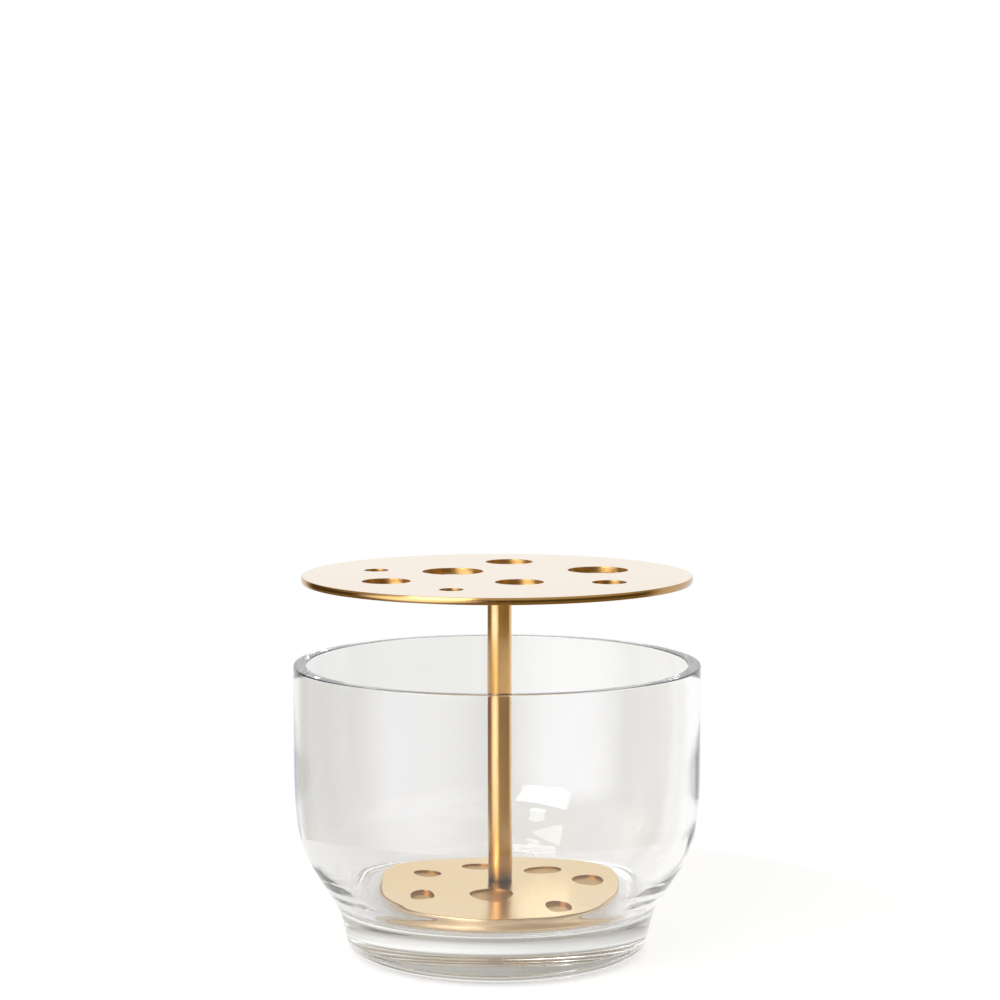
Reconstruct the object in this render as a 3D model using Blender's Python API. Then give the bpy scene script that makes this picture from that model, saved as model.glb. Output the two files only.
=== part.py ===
"""Flower frog: a clear glass bowl that holds a loose brass insert.

The insert is a perforated top plate, a round post and a smaller base plate
with shallow sockets for the feet of the stems, fastened together by a stud at
the top and a countersunk screw from beneath. It lifts straight up out of the
bowl.

Metres, +Z up. The bowl stands on z = 0 with its axis on the world Z axis.
"""

import math

import bmesh
import bpy
from mathutils import Vector

MM = 0.001
CLEARANCE = 0.3 * MM  # kept between pieces that touch in the real object

# Glass bowl
BOWL_RADIUS = 66.5 * MM
BOWL_HEIGHT = 94.5 * MM
RIM_INNER_RADIUS = 62.3 * MM
RIM_ROUNDING = 0.9 * MM
REST_RADIUS = 42.5 * MM  # flat underside that the bowl stands on
FOOT_RADIUS = 49.7 * MM
FOOT_EDGE_HEIGHT = 5.2 * MM
FLOOR_Z = 17.7 * MM  # top of the thick glass floor
FLOOR_RADIUS = 44.5 * MM
# Outer wall above the foot edge, as (radius, height) in millimetres
OUTER_WALL = (
    (49.7, 5.2),
    (51.4, 12.0),
    (53.0, 16.0),
    (55.5, 20.0),
    (58.5, 25.0),
    (61.55, 30.0),
    (64.13, 36.0),
    (65.46, 43.0),
    (66.24, 51.0),
    (66.5, 62.0),
)
# Inner wall above the floor, as (radius, height) in millimetres
INNER_WALL = (
    (46.6, 17.95),
    (48.1, 18.6),
    (49.5, 21.0),
    (51.4, 24.0),
    (53.5, 27.0),
    (56.2, 31.0),
    (58.3, 35.0),
    (59.9, 40.0),
    (60.85, 46.0),
    (61.6, 54.0),
    (62.3, 68.0),
)
BOWL_SEGMENTS = 80

# Brass insert
POST_RADIUS = 4.0 * MM
POST_CHAMFER = 0.5 * MM
POST_X = 0.8 * MM  # the post and the base plate stand a little off the top plate's centre
TOP_PLATE_RADIUS = 63.8 * MM
TOP_PLATE_THICKNESS = 2.2 * MM
TOP_PLATE_Z = 123.5 * MM  # upper face
BASE_PLATE_RADIUS = 40.0 * MM
BASE_PLATE_THICKNESS = 2.0 * MM
BASE_PLATE_Z = FLOOR_Z + CLEARANCE + BASE_PLATE_THICKNESS  # upper face
PLATE_EDGE_BEVEL = 0.25 * MM
PLATE_SEGMENTS = 96
POST_SEGMENTS = 48
HOLE_SEGMENTS = 40

# Round openings as (x, y, diameter) in millimetres
TOP_HOLES = (
    (-40.0, 11.7, 8.0),
    (-35.2, -19.7, 15.5),
    (-14.6, 8.4, 20.0),
    (-14.1, -42.1, 7.5),
    (4.1, 37.8, 16.0),
    (7.1, -21.9, 15.5),
    (33.4, 12.5, 20.0),
    (35.6, -22.5, 11.0),
)
# Shallow sockets in the base plate, measured from its own centre
BASE_SOCKETS = (
    (-24.3, 6.1, 9.2),
    (-25.0, -16.0, 7.5),
    (-7.4, 21.2, 11.4),
    (-2.7, -16.5, 14.1),
    (14.8, 11.7, 13.2),
    (29.6, -3.0, 9.9),
    (18.8, -26.2, 8.0),
)
BASE_SOCKET_DEPTH = 0.8 * MM

# Fasteners inside the insert
STUD_RADIUS = 1.7 * MM
STUD_LENGTH = 10.0 * MM
STUD_FLANGE_RADIUS = 2.9 * MM
STUD_FLANGE_THICKNESS = 0.8 * MM
STUD_SOCKET_RADIUS = STUD_FLANGE_RADIUS + CLEARANCE
STUD_SOCKET_DEPTH = 1.3 * MM
SCREW_RADIUS = 1.35 * MM
SCREW_LENGTH = 10.0 * MM
SCREW_HEAD_RADIUS = 2.75 * MM
SCREW_HEX_RADIUS = 1.15 * MM
SCREW_HEX_DEPTH = 0.9 * MM
FASTENER_SEGMENTS = 32
POST_BORE_DEPTH = 11.5 * MM

TOP_PLATE_UNDERSIDE = TOP_PLATE_Z - TOP_PLATE_THICKNESS
BASE_PLATE_UNDERSIDE = BASE_PLATE_Z - BASE_PLATE_THICKNESS
POST_TOP = TOP_PLATE_UNDERSIDE - CLEARANCE
POST_FOOT = BASE_PLATE_Z + CLEARANCE


def clear_scene():
    """Remove every object that is already in the scene."""
    for obj in list(bpy.data.objects):
        bpy.data.objects.remove(obj, do_unlink=True)


def make_material(name, color, roughness, metallic, transmission=0.0):
    """A Principled material with plain values."""
    material = bpy.data.materials.new(name)
    material.use_nodes = True
    shader = material.node_tree.nodes["Principled BSDF"]
    shader.inputs["Base Color"].default_value = (*color, 1.0)
    shader.inputs["Roughness"].default_value = roughness
    shader.inputs["Metallic"].default_value = metallic
    shader.inputs["Transmission Weight"].default_value = transmission
    material.diffuse_color = (*color, 1.0)
    return material


def finish_object(name, bm, material):
    """Turn a bmesh into a smooth shaded object with sharp corners kept."""
    bmesh.ops.recalc_face_normals(bm, faces=bm.faces)
    mesh = bpy.data.meshes.new(name)
    bm.to_mesh(mesh)
    bm.free()
    mesh.shade_smooth()
    mesh.set_sharp_from_angle(angle=math.radians(32))
    if material is not None:
        mesh.materials.append(material)
    obj = bpy.data.objects.new(name, mesh)
    bpy.context.scene.collection.objects.link(obj)
    return obj


def spin_section(section, segments):
    """Spin a closed section of (radius, height) points about the Z axis."""
    bm = bmesh.new()
    verts = [bm.verts.new((r, 0.0, z)) for r, z in section]
    edges = [bm.edges.new(pair) for pair in zip(verts, verts[1:])]
    if section[0][0] > 0.0:
        edges.append(bm.edges.new((verts[-1], verts[0])))
    bmesh.ops.spin(
        bm,
        geom=verts + edges,
        cent=(0.0, 0.0, 0.0),
        axis=(0.0, 0.0, 1.0),
        angle=math.tau,
        steps=segments,
        use_merge=True,
    )
    bmesh.ops.remove_doubles(bm, verts=bm.verts, dist=1e-7)
    return bm


def elliptic_arc(center, radii, start, end, steps):
    """Points of an elliptic arc between two angles in degrees."""
    points = []
    for step in range(steps + 1):
        angle = math.radians(start + (end - start) * step / steps)
        r = center[0] + radii[0] * math.cos(angle)
        z = center[1] + radii[1] * math.sin(angle)
        points.append((r, z))
    return points


def scaled(section_mm):
    """Section points turned from millimetres to metres."""
    return [(r * MM, z * MM) for r, z in section_mm]


def build_bowl(material):
    """The glass bowl: thick foot, curved shoulder and straight wall."""
    foot_edge = elliptic_arc(
        (REST_RADIUS, FOOT_EDGE_HEIGHT),
        (FOOT_RADIUS - REST_RADIUS, FOOT_EDGE_HEIGHT),
        -90,
        0,
        5,
    )
    rim_z = BOWL_HEIGHT - RIM_ROUNDING
    rim_radii = (RIM_ROUNDING, RIM_ROUNDING)
    outer_lip = elliptic_arc((BOWL_RADIUS - RIM_ROUNDING, rim_z), rim_radii, 0, 90, 3)
    inner_lip = elliptic_arc(
        (RIM_INNER_RADIUS + RIM_ROUNDING, rim_z), rim_radii, 90, 180, 3
    )
    section = [(0.0, 0.0), *foot_edge[:-1], *scaled(OUTER_WALL)]
    section += [*outer_lip, *inner_lip]
    section += reversed(scaled(INNER_WALL))
    section += [(FLOOR_RADIUS, FLOOR_Z), (0.0, FLOOR_Z)]
    return finish_object("glass_bowl", spin_section(section, BOWL_SEGMENTS), material)


def plate_section(radius, top, thickness):
    """Half section of a flat round plate with a small bevel on both edges."""
    under = top - thickness
    edge = PLATE_EDGE_BEVEL
    return [
        (0.0, under),
        (radius - edge, under),
        (radius, under + edge),
        (radius, top - edge),
        (radius - edge, top),
        (0.0, top),
    ]


def build_hole_cutter(name, holes, low, high):
    """Round bars that stand where the stem holes are cut."""
    bm = bmesh.new()
    for x, y, diameter in holes:
        made = bmesh.ops.create_cone(
            bm,
            cap_ends=True,
            segments=HOLE_SEGMENTS,
            radius1=diameter * MM / 2,
            radius2=diameter * MM / 2,
            depth=high - low,
        )
        middle = Vector((x * MM, y * MM, (low + high) / 2))
        bmesh.ops.translate(bm, verts=made["verts"], vec=middle)
    return finish_cutter(name, bm)


def finish_cutter(name, bm):
    """A hidden object that only cuts another one."""
    cutter = finish_object(name, bm, None)
    cutter.hide_render = True
    cutter.display_type = "WIRE"
    return cutter


def cut_with(obj, cutter):
    """Cut one object with another."""
    cutter.parent = obj
    modifier = obj.modifiers.new(f"cut_{cutter.name}", "BOOLEAN")
    modifier.operation = "DIFFERENCE"
    modifier.object = cutter


def build_top_plate(material):
    """The large round plate, with a blind socket for the stud beneath."""
    section = plate_section(TOP_PLATE_RADIUS, TOP_PLATE_Z, TOP_PLATE_THICKNESS)
    plate = finish_object("top_plate", spin_section(section, PLATE_SEGMENTS), material)
    low = TOP_PLATE_UNDERSIDE - MM
    high = TOP_PLATE_Z + MM
    cut_with(plate, build_hole_cutter("top_plate_holes", TOP_HOLES, low, high))
    socket = [
        (0.0, low),
        (STUD_SOCKET_RADIUS, low),
        (STUD_SOCKET_RADIUS, TOP_PLATE_UNDERSIDE + STUD_SOCKET_DEPTH),
        (0.0, TOP_PLATE_UNDERSIDE + STUD_SOCKET_DEPTH),
    ]
    cutter = finish_cutter("top_plate_socket", spin_section(socket, FASTENER_SEGMENTS))
    cutter.location.x = POST_X
    cut_with(plate, cutter)
    return plate


def build_base_plate(material):
    """The small round plate with blind sockets, countersunk beneath for the screw."""
    section = plate_section(BASE_PLATE_RADIUS, BASE_PLATE_Z, BASE_PLATE_THICKNESS)
    plate = finish_object("base_plate", spin_section(section, PLATE_SEGMENTS), material)
    low = BASE_PLATE_UNDERSIDE - MM
    high = BASE_PLATE_Z + MM
    floor = BASE_PLATE_Z - BASE_SOCKET_DEPTH
    cut_with(plate, build_hole_cutter("base_plate_sockets", BASE_SOCKETS, floor, high))
    bore = SCREW_RADIUS + CLEARANCE
    wide = SCREW_HEAD_RADIUS + CLEARANCE
    countersink = [
        (0.0, low),
        (wide, low),
        (wide, BASE_PLATE_UNDERSIDE),
        (bore, BASE_PLATE_UNDERSIDE + wide - bore),
        (bore, high),
        (0.0, high),
    ]
    bm = spin_section(countersink, FASTENER_SEGMENTS)
    cut_with(plate, finish_cutter("base_plate_countersink", bm))
    plate.location.x = POST_X
    return plate


def build_post(material):
    """The round post, bored at both ends for its fasteners."""
    top_bore = STUD_RADIUS + CLEARANCE
    foot_bore = SCREW_RADIUS + CLEARANCE
    section = [
        (0.0, POST_FOOT + POST_BORE_DEPTH),
        (foot_bore, POST_FOOT + POST_BORE_DEPTH),
        (foot_bore, POST_FOOT),
        (POST_RADIUS - POST_CHAMFER, POST_FOOT),
        (POST_RADIUS, POST_FOOT + POST_CHAMFER),
        (POST_RADIUS, POST_TOP - POST_CHAMFER),
        (POST_RADIUS - POST_CHAMFER, POST_TOP),
        (top_bore, POST_TOP),
        (top_bore, POST_TOP - POST_BORE_DEPTH),
        (0.0, POST_TOP - POST_BORE_DEPTH),
    ]
    post = finish_object("post", spin_section(section, POST_SEGMENTS), material)
    post.location.x = POST_X
    return post


def build_top_stud(material):
    """The stud set in the top plate, whose shank goes down into the post."""
    flange_foot = TOP_PLATE_UNDERSIDE + CLEARANCE / 2
    flange_top = flange_foot + STUD_FLANGE_THICKNESS
    section = [
        (0.0, flange_foot - STUD_LENGTH),
        (STUD_RADIUS - CLEARANCE, flange_foot - STUD_LENGTH),
        (STUD_RADIUS, flange_foot - STUD_LENGTH + CLEARANCE),
        (STUD_RADIUS, flange_foot),
        (STUD_FLANGE_RADIUS, flange_foot),
        (STUD_FLANGE_RADIUS, flange_top),
        (0.0, flange_top),
    ]
    stud = finish_object("top_stud", spin_section(section, FASTENER_SEGMENTS), material)
    stud.location.x = POST_X
    return stud


def build_base_screw(material):
    """The countersunk screw that holds the base plate to the post."""
    face = BASE_PLATE_UNDERSIDE + CLEARANCE / 2
    neck = face + SCREW_HEAD_RADIUS - SCREW_RADIUS
    section = [
        (0.0, face),
        (SCREW_HEAD_RADIUS, face),
        (SCREW_RADIUS, neck),
        (SCREW_RADIUS, face + SCREW_LENGTH - CLEARANCE),
        (SCREW_RADIUS - CLEARANCE, face + SCREW_LENGTH),
        (0.0, face + SCREW_LENGTH),
    ]
    screw = finish_object(
        "base_screw", spin_section(section, FASTENER_SEGMENTS), material
    )
    bm = bmesh.new()
    bmesh.ops.create_cone(
        bm,
        cap_ends=True,
        segments=6,
        radius1=SCREW_HEX_RADIUS,
        radius2=SCREW_HEX_RADIUS,
        depth=2 * SCREW_HEX_DEPTH,
    )
    bmesh.ops.translate(bm, verts=bm.verts, vec=(0.0, 0.0, face))
    cut_with(screw, finish_cutter("base_screw_hex", bm))
    screw.location.x = POST_X
    return screw


def main():
    clear_scene()
    glass = make_material("clear_glass", (0.93, 0.94, 0.93), 0.03, 0.0, 1.0)
    top_brass = make_material("top_plate_brass", (0.86, 0.66, 0.40), 0.28, 1.0)
    base_brass = make_material("base_plate_brass", (0.85, 0.65, 0.39), 0.30, 1.0)
    post_brass = make_material("post_brass", (0.80, 0.56, 0.28), 0.22, 1.0)
    stud_brass = make_material("stud_brass", (0.72, 0.52, 0.26), 0.35, 1.0)
    screw_brass = make_material("screw_brass", (0.70, 0.50, 0.25), 0.32, 1.0)

    build_bowl(glass)
    insert = [
        build_top_plate(top_brass),
        build_base_plate(base_brass),
        build_post(post_brass),
        build_top_stud(stud_brass),
        build_base_screw(screw_brass),
    ]

    lift_axis = bpy.data.objects.new("insert_lift_axis", None)
    lift_axis.empty_display_size = 0.02
    bpy.context.scene.collection.objects.link(lift_axis)
    for piece in insert:
        piece.parent = lift_axis


main()
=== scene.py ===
import math

import bmesh
import bpy
import numpy as np
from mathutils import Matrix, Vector, noise


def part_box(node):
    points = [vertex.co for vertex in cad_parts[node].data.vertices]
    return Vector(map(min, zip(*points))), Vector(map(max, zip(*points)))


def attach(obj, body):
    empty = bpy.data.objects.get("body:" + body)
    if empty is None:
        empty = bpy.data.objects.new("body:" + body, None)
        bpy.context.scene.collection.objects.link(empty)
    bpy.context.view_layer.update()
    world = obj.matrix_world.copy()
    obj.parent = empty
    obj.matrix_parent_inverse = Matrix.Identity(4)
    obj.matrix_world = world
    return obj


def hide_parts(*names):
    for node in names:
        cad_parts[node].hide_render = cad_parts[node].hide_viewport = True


MM = 0.001  # the sizes below are in millimetres, and Blender's units are metres

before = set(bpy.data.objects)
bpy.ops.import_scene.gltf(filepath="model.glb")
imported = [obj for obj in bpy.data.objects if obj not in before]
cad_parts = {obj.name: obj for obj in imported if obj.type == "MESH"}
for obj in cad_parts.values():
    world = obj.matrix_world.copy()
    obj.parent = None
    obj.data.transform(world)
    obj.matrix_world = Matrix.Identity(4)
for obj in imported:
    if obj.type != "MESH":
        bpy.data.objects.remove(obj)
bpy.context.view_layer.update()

# ---------------------------------------------------------------- sizes, mm
# Glass bowl. The walls are (radius, height) points of the section.
BOWL_RADIUS = 66.5
BOWL_HEIGHT = 94.5
RIM_INNER_RADIUS = 62.3
RIM_ROUNDING = 0.5
REST_RADIUS = 42.5
FOOT_RADIUS = 49.7
FOOT_EDGE_HEIGHT = 5.2
FLOOR_Z = 17.7
FLOOR_RADIUS = 44.5
OUTER_WALL = (
    (49.7, 5.2),
    (51.4, 12.0),
    (53.0, 16.0),
    (55.5, 20.0),
    (58.5, 25.0),
    (61.55, 30.0),
    (64.13, 36.0),
    (65.46, 43.0),
    (66.24, 51.0),
    (66.5, 62.0),
)
INNER_WALL = (
    (46.6, 17.95),
    (48.1, 18.6),
    (49.5, 21.0),
    (51.4, 24.0),
    (53.5, 27.0),
    (56.2, 31.0),
    (58.3, 35.0),
    (59.9, 40.0),
    (60.85, 46.0),
    (61.6, 54.0),
    (62.3, 68.0),
)
WALL_HEIGHTS = (66.0, 78.0, 90.0)  # rings of the straight part of the wall
WALL_STEPS = 8  # points to each span of a wall's curve
BOWL_SEGMENTS = 288

# Uneven inside of the blown glass
WOBBLE_START = 1.0  # height above the floor where it begins
WOBBLE_RISE = 4.0
WOBBLE_END = 6.0  # distance below the rim where it ends
WOBBLE_FALL = 12.0
WOBBLE_BROAD = 0.16
WOBBLE_FINE = 0.09
SHOULDER_HEIGHT = 27.0
SHOULDER_REACH = 14.0

# Brass plates. Holes and sockets are (x, y, diameter) from the plate's own centre.
TOP_HOLES = (
    (-40.0, 11.7, 8.0),
    (-35.2, -19.7, 15.5),
    (-14.6, 8.4, 20.0),
    (-14.1, -42.1, 7.5),
    (4.1, 37.8, 16.0),
    (7.1, -21.9, 15.5),
    (33.4, 12.5, 20.0),
    (35.6, -22.5, 11.0),
)
BASE_SOCKETS = (
    (-24.3, 6.1, 9.2),
    (-25.0, -16.0, 7.5),
    (-7.4, 21.2, 11.4),
    (-2.7, -16.5, 14.1),
    (14.8, 11.7, 13.2),
    (29.6, -3.0, 9.9),
    (18.8, -26.2, 8.0),
)
BASE_SOCKET_DEPTH = 0.8
SOCKET_CORNER = 0.1
PLATE_EDGE = 0.22
PLATE_CROWN = 0.2  # how far the side bulges between its edges
CROWN_STEPS = 10
HOLE_EDGE = 0.14
EDGE_STEPS = 4
PLATE_SEGMENTS = 240
HOLE_SEGMENTS = 88
GRAIN_UV_SCALE = 7

# Post and the seats of its fasteners
POST_X = 0.8
POST_REACH = 0.28  # how far the bar is drawn into the gaps at its ends
POST_RADIUS = 4.0
POST_EASING = ((3.86, 0.0), (3.96, 0.04), (4.0, 0.14))  # (radius, distance from the end)
POST_SEGMENTS = 144
BORE_DEPTH = 11.5
SCREW_BORE_RADIUS = 1.65
STUD_BORE_RADIUS = 2.0
STUD_SOCKET_RADIUS = 3.2
STUD_SOCKET_DEPTH = 1.3
SCREW_SEAT_RADIUS = 3.05
SCREW_SEAT_DEPTH = 1.4
SEAT_SEGMENTS = 48

# Material indices of a plate
FACE, SIDE, EDGE, WALL, FLOOR = range(5)


# ------------------------------------------------------------------ helpers
def finish_mesh(name, bm, materials, body, slot, *replaced):
    """Turn a bmesh into a piece that rides on a body and stands for CAD nodes."""
    bmesh.ops.recalc_face_normals(bm, faces=bm.faces)
    mesh = bpy.data.meshes.new(name)
    bm.to_mesh(mesh)
    bm.free()
    mesh.shade_smooth()
    mesh.set_sharp_from_angle(angle=math.radians(38))
    for material in materials:
        mesh.materials.append(material)
    piece = bpy.data.objects.new(name, mesh)
    bpy.context.scene.collection.objects.link(piece)
    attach(piece, body)
    if replaced:
        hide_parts(*replaced)
    return piece


def spline(points, steps):
    """A natural cubic curve through (radius, height) points, steps to each span."""
    knots = np.array(points, dtype=float)
    t = np.concatenate(([0.0], np.cumsum(np.linalg.norm(np.diff(knots, axis=0), axis=1))))
    h = np.diff(t)
    count = len(t)
    system = np.eye(count)
    right = np.zeros((count, 2))
    for i in range(1, count - 1):
        system[i, i - 1 : i + 2] = h[i - 1], 2 * (h[i - 1] + h[i]), h[i]
        right[i] = 6 * ((knots[i + 1] - knots[i]) / h[i] - (knots[i] - knots[i - 1]) / h[i - 1])
    bend = np.linalg.solve(system, right)
    curve = []
    for i in range(count - 1):
        for step in range(steps):
            a, b = h[i] * (1 - step / steps), h[i] * step / steps
            p = (bend[i] * a**3 + bend[i + 1] * b**3) / (6 * h[i])
            p += (knots[i] / h[i] - bend[i] * h[i] / 6) * a
            p += (knots[i + 1] / h[i] - bend[i + 1] * h[i] / 6) * b
            curve.append((float(p[0]), float(p[1])))
    curve.append(tuple(points[-1]))
    return curve


def elliptic(center, radii, start, end, steps):
    """Points of an elliptic arc between two angles in degrees."""
    out = []
    for step in range(steps + 1):
        angle = math.radians(start + (end - start) * step / steps)
        out.append(
            (center[0] + radii[0] * math.cos(angle), center[1] + radii[1] * math.sin(angle))
        )
    return out


def ring(bm, cx, cy, radius, z, count):
    """A closed ring of vertices, in millimetres."""
    out = []
    for i in range(count):
        a = math.tau * i / count
        x, y = cx + radius * math.cos(a), cy + radius * math.sin(a)
        out.append(bm.verts.new((x * MM, y * MM, z * MM)))
    return out


def bridge(bm, lower, upper, index=0):
    """Quads between two rings of the same length."""
    count = len(lower)
    for i in range(count):
        j = (i + 1) % count
        bm.faces.new((lower[i], lower[j], upper[j], upper[i])).material_index = index


def revolve(bm, section, count, wobble=None):
    """A closed solid of revolution whose section starts and ends on the axis.

    wobble gives the extra radius at (angle, radius, height, section index).
    """
    rings = []
    for k, (r, z) in enumerate(section):
        if r <= 1e-6:
            rings.append([bm.verts.new((0.0, 0.0, z * MM))])
            continue
        verts = []
        for i in range(count):
            a = math.tau * i / count
            rr = r + (wobble(a, r, z, k) if wobble else 0.0)
            verts.append(bm.verts.new((rr * math.cos(a) * MM, rr * math.sin(a) * MM, z * MM)))
        rings.append(verts)
    for a, b in zip(rings, rings[1:]):
        if len(a) == 1 and len(b) > 1:
            for i in range(count):
                bm.faces.new((a[0], b[(i + 1) % count], b[i]))
        elif len(b) == 1 and len(a) > 1:
            for i in range(count):
                bm.faces.new((a[i], a[(i + 1) % count], b[0]))
        else:
            bridge(bm, a, b)


# ---------------------------------------------------------------- materials
def new_material(name):
    """An empty node material: the material, its tree and its shader."""
    material = bpy.data.materials.new(name)
    material.use_nodes = True
    tree = material.node_tree
    return material, tree, tree.nodes["Principled BSDF"]


def add(tree, kind, **values):
    """Add a node and set its inputs by name, or its own properties."""
    node = tree.nodes.new(kind)
    for key, value in values.items():
        if key in node.inputs:
            node.inputs[key].default_value = value
        else:
            setattr(node, key, value)
    return node


def ramp(tree, fac, low, high, lo_value, hi_value):
    """Map a range of a socket onto another range."""
    node = add(tree, "ShaderNodeMapRange")
    node.inputs["From Min"].default_value = low
    node.inputs["From Max"].default_value = high
    node.inputs["To Min"].default_value = lo_value
    node.inputs["To Max"].default_value = hi_value
    tree.links.new(fac, node.inputs["Value"])
    return node.outputs["Result"]


# Painted shade: over the lowest 7 mm of the post, its colour and its coat fall to 12 percent,
# standing in for the shade near the base plate.
FOOT_SHADE_REACH = 7.0 * MM
FOOT_SHADE_HEIGHTS = (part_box("post")[0].z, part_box("post")[0].z + FOOT_SHADE_REACH)
FOOT_SHADE_LEVELS = (0.12, 1.0)
NOISE_MIDDLE = (0.3, 0.7)  # the range that most of a noise texture's values lie in
LACQUER_IOR = 1.9
LACQUER_ROUGHNESS = 0.22
QUARTER_TURN = 0.25


def brushed_brass(
    name,
    base,
    dark,
    roughness,
    stretch,
    bump,
    anisotropy=0.0,
    grain_kind="UV_MAP",
    lacquered=False,
):
    """Brass with a fine straight grain between two tones.

    stretch gives the grain's scale on each axis. A lacquered piece has a clear
    coat, and both its colour and its coat fall off near the post's foot as painted shade.
    """
    material, tree, shader = new_material(name)
    links = tree.links
    coords = add(tree, "ShaderNodeTexCoord")
    mapping = add(tree, "ShaderNodeMapping")
    mapping.inputs["Scale"].default_value = stretch
    links.new(coords.outputs["Object"], mapping.inputs["Vector"])
    grain = add(tree, "ShaderNodeTexNoise", Scale=1.0, Detail=5.0, Roughness=0.62)
    links.new(mapping.outputs["Vector"], grain.inputs["Vector"])
    patches = add(tree, "ShaderNodeTexNoise", Scale=38.0, Detail=3.0, Roughness=0.55)
    links.new(coords.outputs["Object"], patches.inputs["Vector"])

    tone = add(tree, "ShaderNodeMix", data_type="RGBA")
    tone.inputs["A"].default_value = (*dark, 1.0)
    tone.inputs["B"].default_value = (*base, 1.0)
    mixed = add(tree, "ShaderNodeMath", operation="MULTIPLY_ADD")
    links.new(grain.outputs["Fac"], mixed.inputs[0])
    mixed.inputs[1].default_value = 0.7
    links.new(ramp(tree, patches.outputs["Fac"], *NOISE_MIDDLE, 0.1, 0.45), mixed.inputs[2])
    links.new(mixed.outputs["Value"], tone.inputs["Factor"])
    if lacquered:
        # Painted shade: the colour and the coat fall off towards the post's foot.
        place = add(tree, "ShaderNodeSeparateXYZ")
        links.new(coords.outputs["Object"], place.inputs[0])
        foot_shaded = add(tree, "ShaderNodeVectorMath", operation="SCALE")
        links.new(tone.outputs["Result"], foot_shaded.inputs[0])
        foot_shade = ramp(tree, place.outputs["Z"], *FOOT_SHADE_HEIGHTS, *FOOT_SHADE_LEVELS)
        links.new(foot_shade, foot_shaded.inputs["Scale"])
        links.new(foot_shade, shader.inputs["Coat Weight"])
        links.new(foot_shaded.outputs["Vector"], shader.inputs["Base Color"])
        shader.inputs["Coat IOR"].default_value = LACQUER_IOR
        shader.inputs["Coat Roughness"].default_value = LACQUER_ROUGHNESS
    else:
        links.new(tone.outputs["Result"], shader.inputs["Base Color"])

    rough = add(tree, "ShaderNodeMath", operation="ADD")
    links.new(ramp(tree, grain.outputs["Fac"], *NOISE_MIDDLE, -0.05, 0.05), rough.inputs[0])
    links.new(
        ramp(tree, patches.outputs["Fac"], *NOISE_MIDDLE, roughness - 0.02, roughness + 0.03),
        rough.inputs[1],
    )
    links.new(rough.outputs["Value"], shader.inputs["Roughness"])

    ridge = add(tree, "ShaderNodeBump", Strength=bump, Distance=0.0001)
    links.new(grain.outputs["Fac"], ridge.inputs["Height"])
    links.new(ridge.outputs["Normal"], shader.inputs["Normal"])
    shader.inputs["Metallic"].default_value = 1.0
    shader.inputs["Anisotropic"].default_value = anisotropy
    if anisotropy:
        tangent = add(tree, "ShaderNodeTangent", direction_type=grain_kind)
        if grain_kind == "UV_MAP":
            tangent.uv_map = "grain"
        else:
            tangent.axis = "Z"
            shader.inputs["Anisotropic Rotation"].default_value = QUARTER_TURN
        links.new(tangent.outputs["Tangent"], shader.inputs["Tangent"])
    return material


def clear_glass():
    """Clear blown glass with faint smudges and a barely uneven surface."""
    material, tree, shader = new_material("clear_blown_glass")
    links = tree.links
    shader.inputs["Base Color"].default_value = (0.935, 0.933, 0.925, 1.0)
    shader.inputs["Transmission Weight"].default_value = 1.0
    shader.inputs["IOR"].default_value = 1.5
    coords = add(tree, "ShaderNodeTexCoord")
    ripple = add(tree, "ShaderNodeTexNoise", Scale=26.0, Detail=2.0, Roughness=0.4)
    links.new(coords.outputs["Object"], ripple.inputs["Vector"])
    bump = add(tree, "ShaderNodeBump", Strength=0.06, Distance=0.0004)
    links.new(ripple.outputs["Fac"], bump.inputs["Height"])
    links.new(bump.outputs["Normal"], shader.inputs["Normal"])
    smudge = add(tree, "ShaderNodeTexNoise", Scale=45.0, Detail=4.0, Roughness=0.6)
    links.new(coords.outputs["Object"], smudge.inputs["Vector"])
    links.new(ramp(tree, smudge.outputs["Fac"], 0.5, 0.8, 0.0, 0.02), shader.inputs["Roughness"])
    return material


GLASS = clear_glass()
TOP_FACE = brushed_brass(
    "top_plate_brushed",
    base=(0.83, 0.70, 0.50),
    dark=(0.77, 0.61, 0.40),
    roughness=0.20,
    stretch=(14, 1500, 900),
    bump=0.10,
    anisotropy=0.5,
)
BASE_FACE = brushed_brass(
    "base_plate_brushed",
    base=(0.97, 0.75, 0.41),
    dark=(0.91, 0.66, 0.32),
    roughness=0.20,
    stretch=(14, 1500, 900),
    bump=0.12,
    anisotropy=0.5,
)
# Painted shade: the top plate's satin side is a much darker copy of the brass than the base
# plate's side.
PLATE_SIDE_SHADED = brushed_brass(
    "plate_side_satin_shaded",
    base=(0.50, 0.31, 0.12),
    dark=(0.38, 0.22, 0.07),
    roughness=0.16,
    stretch=(900, 900, 90),
    bump=0.05,
)
# Painted light: the base plate's satin side is a much lighter copy of the brass, standing in for
# the light on it inside the glass.
BASE_SIDE_LIT = brushed_brass(
    "base_side_satin_lit",
    base=(0.90, 0.68, 0.42),
    dark=(0.82, 0.58, 0.32),
    roughness=0.42,
    stretch=(900, 900, 90),
    bump=0.05,
)
# Painted shade: the polished rounded edges of the plates, holes and sockets are a dark brass,
# drawing a dark line where a face turns down.
PLATE_RIM_SHADED = brushed_brass(
    "plate_edge_polished_shaded",
    base=(0.46, 0.28, 0.11),
    dark=(0.36, 0.20, 0.07),
    roughness=0.12,
    stretch=(400, 400, 400),
    bump=0.02,
)
# Painted shade: the walls of the holes and seats are a darker brass, standing in for the shade
# inside them.
SHADED_HOLE_WALL = brushed_brass(
    "stem_hole_wall_shaded",
    base=(0.60, 0.36, 0.12),
    dark=(0.38, 0.20, 0.05),
    roughness=0.30,
    stretch=(700, 700, 2600),
    bump=0.25,
)
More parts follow.
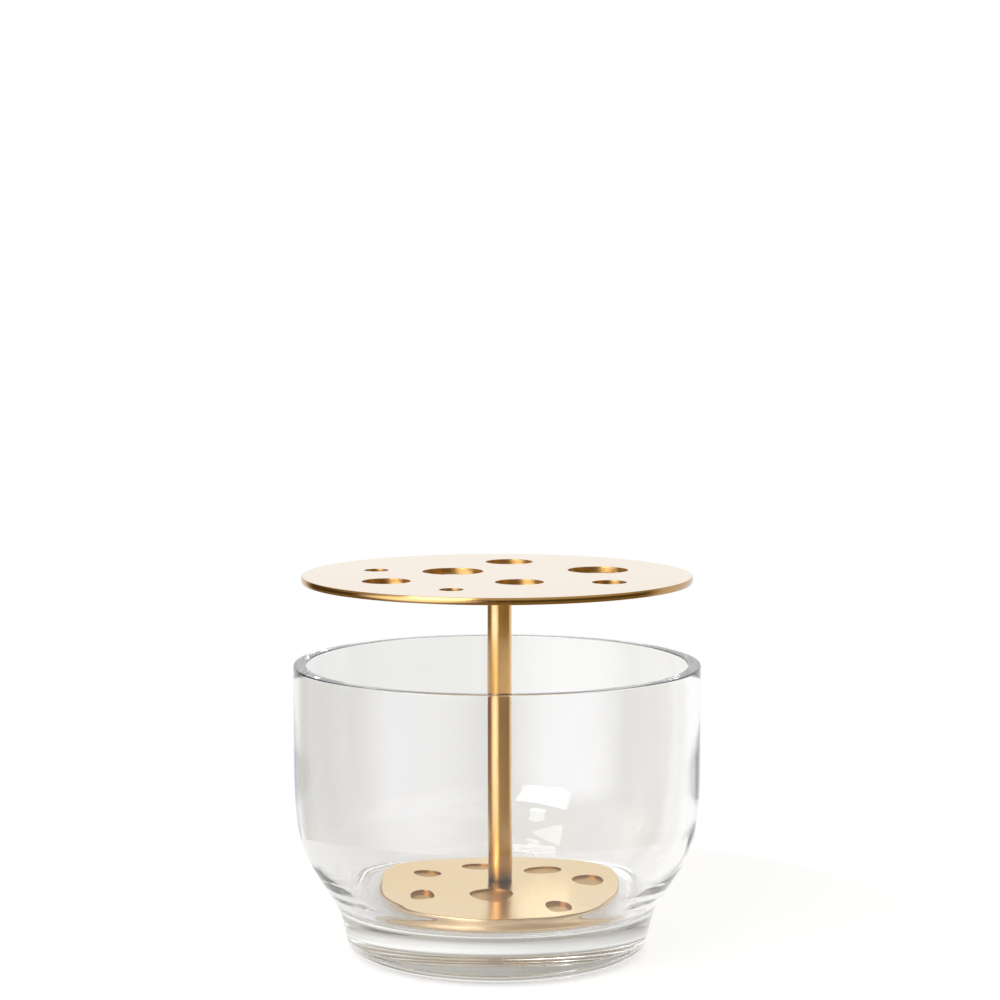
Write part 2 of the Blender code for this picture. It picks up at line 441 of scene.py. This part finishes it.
# Painted shade: the milled socket floors are rougher, and a darker brass than the face; the
# darker colour stands in for the shade in the recesses.
SHADED_SOCKET_FLOOR = brushed_brass(
    "socket_floor_milled_shaded",
    base=(0.74, 0.48, 0.16),
    dark=(0.54, 0.31, 0.08),
    roughness=0.36,
    stretch=(14, 2200, 900),
    bump=0.16,
)
# The post is lacquered; its colour and coat fall off near its foot as painted shade.
POST_FACE = brushed_brass(
    "post_satin",
    base=(0.74, 0.42, 0.10),
    dark=(0.62, 0.33, 0.06),
    roughness=0.33,
    stretch=(60, 60, 2600),
    bump=0.03,
    anisotropy=0.92,
    grain_kind="RADIAL",
    lacquered=True,
)
FASTENER = brushed_brass(
    "fastener_machined",
    base=(0.80, 0.57, 0.28),
    dark=(0.62, 0.41, 0.17),
    roughness=0.30,
    stretch=(900, 900, 900),
    bump=0.12,
)


# --------------------------------------------------------------- glass bowl
def build_bowl():
    """One blown piece: its section runs up the outside, over the rim and down to the floor."""
    rest = [(0.0, 0.0), (REST_RADIUS * 0.5, 0.0), (REST_RADIUS - 0.6, 0.0)]
    foot_radii = (FOOT_RADIUS - REST_RADIUS, FOOT_EDGE_HEIGHT)
    foot = elliptic((REST_RADIUS, FOOT_EDGE_HEIGHT), foot_radii, -90, 0, 22)[:-1]
    lip_z = BOWL_HEIGHT - RIM_ROUNDING
    rounding = (RIM_ROUNDING, RIM_ROUNDING)
    lip_out = elliptic((BOWL_RADIUS - RIM_ROUNDING, lip_z), rounding, 0, 90, 8)
    lip_in = elliptic((RIM_INNER_RADIUS + RIM_ROUNDING, lip_z), rounding, 90, 180, 8)
    inner = spline([(FLOOR_RADIUS, FLOOR_Z), *INNER_WALL], WALL_STEPS)
    floor = [(30.0, FLOOR_Z), (15.0, FLOOR_Z), (0.0, FLOOR_Z)]
    section = [
        *rest,
        *foot,
        *spline(OUTER_WALL, WALL_STEPS),
        *((BOWL_RADIUS, z) for z in WALL_HEIGHTS),
        *lip_out,
        *lip_in,
        *((RIM_INNER_RADIUS, z) for z in reversed(WALL_HEIGHTS[1:])),
        *reversed(inner),
        *floor,
    ]
    inner_start = len(section) - len(inner) - len(floor)

    def wobble(a, r, z, k):
        """The inside of blown glass is a little uneven; the outside is true."""
        if k < inner_start or z < FLOOR_Z + WOBBLE_START:
            return 0.0
        rise = min(1.0, (z - FLOOR_Z - WOBBLE_START) / WOBBLE_RISE)
        fade = rise * min(1.0, max(0.0, (BOWL_HEIGHT - WOBBLE_END - z) / WOBBLE_FALL))
        broad = Vector((2.1 * math.cos(a), 2.1 * math.sin(a), z * 0.045))
        fine = Vector((r * math.cos(a) * 0.11, r * math.sin(a) * 0.11, z * 0.22))
        shoulder = max(0.0, 1.0 - abs(z - SHOULDER_HEIGHT) / SHOULDER_REACH)
        return fade * (
            WOBBLE_BROAD * noise.noise(broad) + WOBBLE_FINE * shoulder * noise.noise(fine)
        )

    bm = bmesh.new()
    revolve(bm, section, BOWL_SEGMENTS, wobble=wobble)
    return finish_mesh("bowl_glass", bm, [GLASS], "bowl", "clear_glass", "glass_bowl")


# ------------------------------------------------------------ brass plates
def edge_section(edge, steps):
    """Rounded corner offsets (inwards, down), from the face to the side."""
    angles = [math.pi / 2 * k / steps for k in range(steps + 1)]
    return [(edge * (1 - math.sin(a)), edge * (1 - math.cos(a))) for a in angles]


def plate_wall(bm, centre, radius, low, high, edge, count, index, crown=0.0):
    """One wall of a plate, rounded into both faces. Returns the top and bottom rings.

    The outer side (index SIDE) is drawn in at its edges, and a hole's wall is widened.
    """
    sign = -1 if index == SIDE else 1
    offsets = edge_section(edge, EDGE_STEPS)
    upper = [(radius + sign * (o + crown), high - d) for o, d in offsets]
    lower = [(radius + sign * (o + crown), low + d) for o, d in reversed(offsets)]
    middle = []
    if crown:
        half = (high - low) / 2 - edge
        for k in range(1, CROWN_STEPS):
            t = 1 - 2 * k / CROWN_STEPS
            middle.append((radius + sign * crown * t * t, (low + high) / 2 + t * half))
    rings = [ring(bm, *centre, r, z, count) for r, z in [*upper, *middle, *lower]]
    straight = range(len(upper) - 1, len(upper) + len(middle))
    for k, (a, b) in enumerate(zip(rings, rings[1:])):
        bridge(bm, a, b, index if k in straight else EDGE)
    return rings[0], rings[-1]


def socket_wall(bm, centre, radius, floor, high):
    """A blind round socket with a rounded mouth and a flat floor. Returns the top ring."""
    section = [(radius + o, high - d) for o, d in edge_section(HOLE_EDGE, EDGE_STEPS)]
    section += [(radius, floor + SOCKET_CORNER), (radius - SOCKET_CORNER, floor)]
    rings = [ring(bm, *centre, r, z, HOLE_SEGMENTS) for r, z in section]
    for k, (a, b) in enumerate(zip(rings, rings[1:])):
        bridge(bm, a, b, EDGE if k < EDGE_STEPS else WALL)
    bm.faces.new(rings[-1]).material_index = FLOOR
    return rings[0]


def close_face(bm, rings, index):
    """Fill the flat face between the outer ring and the hole rings."""
    edges = []
    for verts in rings:
        for pair in zip(verts, verts[1:] + verts[:1]):
            edges.append(bm.edges.get(pair) or bm.edges.new(pair))
    made = bmesh.ops.triangle_fill(bm, use_beauty=True, use_dissolve=False, edges=edges)
    for item in made["geom"]:
        if isinstance(item, bmesh.types.BMFace):
            item.material_index = index


def build_plate(name, node, face, side, slot, holes, sockets, under):
    """A round plate with rounded edges, holes and sockets.

    under builds what is cut from beneath and returns its top and bottom rings.
    """
    box_low, box_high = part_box(node)
    cx, cy = (box_low.x + box_high.x) / 2 / MM, (box_low.y + box_high.y) / 2 / MM
    radius = (box_high.x - box_low.x) / 2 / MM
    low, high = box_low.z / MM, box_high.z / MM
    bm = bmesh.new()
    top, bottom = plate_wall(
        bm, (cx, cy), radius, low, high, PLATE_EDGE, PLATE_SEGMENTS, SIDE, PLATE_CROWN
    )
    tops, bottoms = [top], [bottom]
    for x, y, diameter in holes:
        top, bottom = plate_wall(
            bm, (cx + x, cy + y), diameter / 2, low, high, HOLE_EDGE, HOLE_SEGMENTS, WALL
        )
        tops.append(top)
        bottoms.append(bottom)
    for x, y, diameter in sockets:
        floor = high - BASE_SOCKET_DEPTH
        tops.append(socket_wall(bm, (cx + x, cy + y), diameter / 2, floor, high))
    extra_top, extra_bottom = under(bm, low, high)
    close_face(bm, tops + extra_top, FACE)
    close_face(bm, bottoms + extra_bottom, FACE)
    materials = [face, side, PLATE_RIM_SHADED, SHADED_HOLE_WALL, SHADED_SOCKET_FLOOR]
    piece = finish_mesh(name, bm, materials, "insert", slot, node)
    for polygon in piece.data.polygons:
        polygon.use_smooth = polygon.material_index not in (FACE, FLOOR)
    uv = piece.data.uv_layers.new(name="grain")
    for loop in piece.data.loops:
        co = piece.data.vertices[loop.vertex_index].co
        uv.data[loop.index].uv = (co.x * GRAIN_UV_SCALE + 0.5, co.y * GRAIN_UV_SCALE + 0.5)
    return piece


def stud_socket(bm, low, high):
    """The blind socket for the stud's flange."""
    roof_z = low + STUD_SOCKET_DEPTH
    mouth = ring(bm, POST_X, 0, STUD_SOCKET_RADIUS, low, SEAT_SEGMENTS)
    roof = ring(bm, POST_X, 0, STUD_SOCKET_RADIUS, roof_z, SEAT_SEGMENTS)
    bridge(bm, mouth, roof, WALL)
    centre = bm.verts.new((POST_X * MM, 0, roof_z * MM))
    for a, b in zip(roof, roof[1:] + roof[:1]):
        bm.faces.new((a, b, centre)).material_index = WALL
    return [], [mouth]


def screw_seat(bm, low, high):
    """The countersunk hole for the base screw."""
    mouth = ring(bm, POST_X, 0, SCREW_SEAT_RADIUS, low, SEAT_SEGMENTS)
    neck = ring(bm, POST_X, 0, SCREW_BORE_RADIUS, low + SCREW_SEAT_DEPTH, SEAT_SEGMENTS)
    top = ring(bm, POST_X, 0, SCREW_BORE_RADIUS, high, SEAT_SEGMENTS)
    bridge(bm, mouth, neck, WALL)
    bridge(bm, neck, top, WALL)
    return [top], [mouth]


def build_post(low, high):
    """The satin round bar: its ends are eased, drawn up to the plates and bored."""
    foot, top = low - POST_REACH, high + POST_REACH
    section = [
        (0.0, low + BORE_DEPTH),
        (SCREW_BORE_RADIUS, low + BORE_DEPTH),
        (SCREW_BORE_RADIUS, foot),
        *((radius, foot + step) for radius, step in POST_EASING),
        *((POST_RADIUS, z) for z in (low + 20, low + 50, high - 20)),
        *((radius, top - step) for radius, step in reversed(POST_EASING)),
        (STUD_BORE_RADIUS, top),
        (STUD_BORE_RADIUS, high - BORE_DEPTH),
        (0.0, high - BORE_DEPTH),
    ]
    bm = bmesh.new()
    revolve(bm, section, POST_SEGMENTS)
    bmesh.ops.translate(bm, verts=bm.verts, vec=(POST_X * MM, 0.0, 0.0))
    return finish_mesh("post_bar", bm, [POST_FACE], "insert", "post_brass", "post")


build_bowl()
build_plate(
    "top_plate_disc",
    "top_plate",
    face=TOP_FACE,
    side=PLATE_SIDE_SHADED,
    slot="top_plate_brass",
    holes=TOP_HOLES,
    sockets=(),
    under=stud_socket,
)
build_plate(
    "base_plate_disc",
    "base_plate",
    face=BASE_FACE,
    side=BASE_SIDE_LIT,
    slot="base_plate_brass",
    holes=(),
    sockets=BASE_SOCKETS,
    under=screw_seat,
)
post_low, post_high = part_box("post")
build_post(post_low.z / MM, post_high.z / MM)

for node in ("top_stud", "base_screw"):
    for material_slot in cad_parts[node].material_slots:
        material_slot.material = FASTENER


# ------------------------------------------------------------------- studio
# Metres, degrees and light levels. Azimuth 0 is the front, positive to the right.
# An EDGE is where a patch of light begins and where it is full: distances on the
# table, or cosines of the angle to the patch's middle.
TABLE_RADIUS = 0.16
TABLE_DROP = 0.1 * MM  # keeps the bowl's foot clear of the table, so that it reflects inside
# Painted shadow: the table's glow is dimmer below the bowl. Painted light: for rays through the
# glass or in the brass, it also rises from left to right.
GLOW_EDGE = (0.040, 0.050)
GLOW_LEVELS = (0.42, 0.87)  # the table seen directly
GLASS_GLOW_LEVELS = (0.42, 0.78)  # the table seen through the glass or in the brass
GLOW_SIDES = (-0.06, 0.06)
GLOW_ACROSS = (0.90, 1.14)
PAINT_LEVELS = (0.50, 0.22)

UP = (0.0, 0.0, 1.0)
DOWN = (0.0, 0.0, -1.0)
RIGHT = (1.0, 0.0, 0.0)
ROOM_LEVEL = 0.13
BACKDROP_AZIMUTH = 160.0
BACKDROP_EDGE = (0.45, 0.65)
BACKDROP_LEVEL = 1.03
CEILING_EDGE = (0.10, 0.44)
CEILING_LEVEL = 0.85
CARPET_EDGE = (0.18, 0.30)
CARPET_LEVEL = 0.34
STRIP_AZIMUTH = -47.0
STRIP_ELEVATION = -4.0
STRIP_EDGE = (0.74, 0.97)
STRIP_LEVEL = 3.1
STRIP_COLOR = (1.0, 1.0, 1.15)
WARM = (1.0, 0.74, 0.32, 1.0)
COOL = (1.0, 1.0, 1.04, 1.0)

CLEAR_SIDES = (-0.22, 0.22)
CLEAR_LEVELS = (0.85, 1.05)
CLEAR_EDGE = (0.02, 0.24)
CLEAR_LOW = (1.0, 0.995, 0.98, 1.0)
CLEAR_TOP = (0.47, 0.46, 0.42, 1.0)
FLAGS = ((-122.0, 32.0, 12.0), (140.0, 34.0, 11.0))  # azimuth, elevation, radius
FLAG_SOFTNESS = 1.6
FLAG_STRENGTH = 0.9
FLAG_COLOR = (0.04, 0.035, 0.02, 1.0)
WHITE = (1.0, 1.0, 1.0, 1.0)
THROUGH_ONE_WALL = 2.0  # the transmission depth of a ray that went into and out of the glass
FORGET_GLOSS = -50.0  # more than any glossy depth

CAMERA_LENS = 84.98
CAMERA_PLACE = (0.00096, -0.76583, 0.21063)
CAMERA_TILT = 0.0819


def build_table():
    """A small round table that glows, dimmer below the bowl as a painted shadow; the white
    background shows past its edge.
    """
    bm = bmesh.new()
    bmesh.ops.create_circle(bm, cap_ends=True, segments=96, radius=TABLE_RADIUS)
    mesh = bpy.data.meshes.new("studio_table")
    bm.to_mesh(mesh)
    bm.free()
    table = bpy.data.objects.new("studio_table", mesh)
    bpy.context.scene.collection.objects.link(table)
    material, tree, shader = new_material("studio_glowing_table")
    shader.inputs["Roughness"].default_value = 0.9
    shader.inputs["Specular IOR Level"].default_value = 0.1
    shader.inputs["Emission Color"].default_value = (1.0, 0.995, 0.985, 1.0)
    coords = add(tree, "ShaderNodeTexCoord")
    distance = add(tree, "ShaderNodeVectorMath", operation="LENGTH")
    tree.links.new(coords.outputs["Object"], distance.inputs[0])
    place = add(tree, "ShaderNodeSeparateXYZ")
    tree.links.new(coords.outputs["Object"], place.inputs[0])

    # Painted shadow and light: camera rays see the direct glow levels; other rays see the dimmer
    # levels, brighter to the right.
    path = add(tree, "ShaderNodeLightPath")
    glow = add(tree, "ShaderNodeMix", data_type="FLOAT")
    tree.links.new(path.outputs["Is Camera Ray"], glow.inputs["Factor"])
    across = add(tree, "ShaderNodeMath", operation="MULTIPLY")
    tree.links.new(
        ramp(tree, distance.outputs["Value"], *GLOW_EDGE, *GLASS_GLOW_LEVELS), across.inputs[0]
    )
    tree.links.new(ramp(tree, place.outputs["X"], *GLOW_SIDES, *GLOW_ACROSS), across.inputs[1])
    tree.links.new(across.outputs["Value"], glow.inputs["A"])
    tree.links.new(
        ramp(tree, distance.outputs["Value"], *GLOW_EDGE, *GLOW_LEVELS), glow.inputs["B"]
    )
    tree.links.new(glow.outputs["Result"], shader.inputs["Emission Strength"])

    paint = add(tree, "ShaderNodeCombineColor")
    shade = ramp(tree, distance.outputs["Value"], *GLOW_EDGE, *PAINT_LEVELS)
    for channel in ("Red", "Green", "Blue"):
        tree.links.new(shade, paint.inputs[channel])
    tree.links.new(paint.outputs["Color"], shader.inputs["Base Color"])
    mesh.materials.append(material)
    table.location.z = -TABLE_DROP


def direction(azimuth, elevation):
    """Unit vector from the object."""
    a, e = math.radians(azimuth), math.radians(elevation)
    return Vector((math.sin(a) * math.cos(e), -math.cos(a) * math.cos(e), math.sin(e)))


def area_light(name, azimuth, elevation, distance, width, height, radiance):
    """A softbox that faces the object."""
    light = bpy.data.lights.new(name, "AREA")
    light.shape = "RECTANGLE"
    light.size = width
    light.size_y = height
    light.energy = radiance * math.pi * width * height
    lamp = bpy.data.objects.new(name, light)
    toward = direction(azimuth, elevation)
    lamp.location = toward * distance + Vector((0, 0, 0.05))
    lamp.rotation_euler = toward.to_track_quat("Z", "Y").to_euler()
    bpy.context.scene.collection.objects.link(lamp)


def build_world():
    """The surroundings, in three versions chosen by the ray's path.

    The camera sees plain white. A ray that isn't reflected, or that has only been
    into and out of one wall of glass, sees the light surround ("clear"), darker
    towards the top so that the thick foot shows grey bands. Every other reflected
    ray sees a warm dark room with white cards.
    """
    world = bpy.data.worlds.new("studio_world")
    bpy.context.scene.world = world
    world.use_nodes = True
    tree = world.node_tree
    links = tree.links
    background = tree.nodes["Background"]
    coords = add(tree, "ShaderNodeTexCoord")

    def toward(axis, edge, low, high):
        """Brightness that rises towards one direction."""
        dot = add(tree, "ShaderNodeVectorMath", operation="DOT_PRODUCT")
        links.new(coords.outputs["Generated"], dot.inputs[0])
        dot.inputs[1].default_value = axis
        return ramp(tree, dot.outputs["Value"], *edge, low, high)

    def brighter(a, b):
        """The larger of two values."""
        node = add(tree, "ShaderNodeMath", operation="MAXIMUM")
        links.new(a, node.inputs[0])
        links.new(b, node.inputs[1])
        return node.outputs["Value"]

    def blend(factor, a, b):
        """Mix two colours; a and b are sockets or plain colours."""
        node = add(tree, "ShaderNodeMix", data_type="RGBA")
        links.new(factor, node.inputs["Factor"])
        for name, value in (("A", a), ("B", b)):
            if isinstance(value, tuple):
                node.inputs[name].default_value = value
            else:
                links.new(value, node.inputs[name])
        return node.outputs["Result"]

    def scaled(color, level):
        """A colour times a value; the colour is a socket or a plain colour."""
        node = add(tree, "ShaderNodeVectorMath", operation="SCALE")
        if isinstance(color, tuple):
            node.inputs[0].default_value = color[:3]
        else:
            links.new(color, node.inputs[0])
        links.new(level, node.inputs["Scale"])
        return node.outputs["Vector"]

    backdrop_axis = direction(BACKDROP_AZIMUTH, 0.0)
    backdrop = toward(backdrop_axis, BACKDROP_EDGE, ROOM_LEVEL, BACKDROP_LEVEL)
    ceiling = toward(UP, CEILING_EDGE, 0.0, CEILING_LEVEL)
    carpet = toward(DOWN, CARPET_EDGE, 0.0, CARPET_LEVEL)
    level = brighter(brighter(backdrop, ceiling), carpet)
    room = scaled(blend(ramp(tree, level, 0.2, 1.0, 0.0, 1.0), WARM, COOL), level)
    strip = toward(direction(STRIP_AZIMUTH, STRIP_ELEVATION), STRIP_EDGE, 0.0, STRIP_LEVEL)
    reflected = add(tree, "ShaderNodeVectorMath", operation="MAXIMUM")
    links.new(room, reflected.inputs[0])
    links.new(scaled(STRIP_COLOR, strip), reflected.inputs[1])

    tint = blend(toward(UP, CLEAR_EDGE, 0.0, 1.0), CLEAR_LOW, CLEAR_TOP)
    for azimuth, elevation, radius in FLAGS:
        angles = (radius * FLAG_SOFTNESS, radius)
        edge = [math.cos(math.radians(angle)) for angle in angles]
        flag = toward(direction(azimuth, elevation), edge, 0.0, FLAG_STRENGTH)
        tint = blend(flag, tint, FLAG_COLOR)
    clear = scaled(tint, toward(RIGHT, CLEAR_SIDES, *CLEAR_LEVELS))

    path = add(tree, "ShaderNodeLightPath")
    through = add(tree, "ShaderNodeMath", operation="COMPARE")
    links.new(path.outputs["Transmission Depth"], through.inputs[0])
    through.inputs[1].default_value = THROUGH_ONE_WALL
    through.inputs[2].default_value = 0.5
    mirrored = add(tree, "ShaderNodeMath", operation="MULTIPLY_ADD", use_clamp=True)
    links.new(through.outputs["Value"], mirrored.inputs[0])
    mirrored.inputs[1].default_value = FORGET_GLOSS
    links.new(path.outputs["Glossy Depth"], mirrored.inputs[2])
    seen = blend(mirrored.outputs["Value"], clear, reflected.outputs["Vector"])
    shown = blend(path.outputs["Is Camera Ray"], seen, WHITE)
    links.new(shown, background.inputs["Color"])
    background.inputs["Strength"].default_value = 1.0


def build_camera():
    """The photograph's viewpoint."""
    data = bpy.data.cameras.new("camera")
    data.lens = CAMERA_LENS
    data.sensor_width = 36.0
    data.clip_end = 50.0
    camera = bpy.data.objects.new("camera", data)
    camera.location = CAMERA_PLACE
    camera.rotation_euler = (math.radians(90) - CAMERA_TILT, 0.0, 0.0)
    bpy.context.scene.collection.objects.link(camera)
    bpy.context.scene.camera = camera


build_table()
area_light(
    "window_softbox",
    azimuth=-34,
    elevation=34,
    distance=1.2,
    width=0.72,
    height=0.95,
    radiance=4.5,
)
build_world()
build_camera()
bpy.context.scene.view_settings.view_transform = "Standard"
cycles = bpy.context.scene.cycles
cycles.max_bounces = 32
cycles.transmission_bounces = 28
cycles.glossy_bounces = 12
cycles.diffuse_bounces = 8
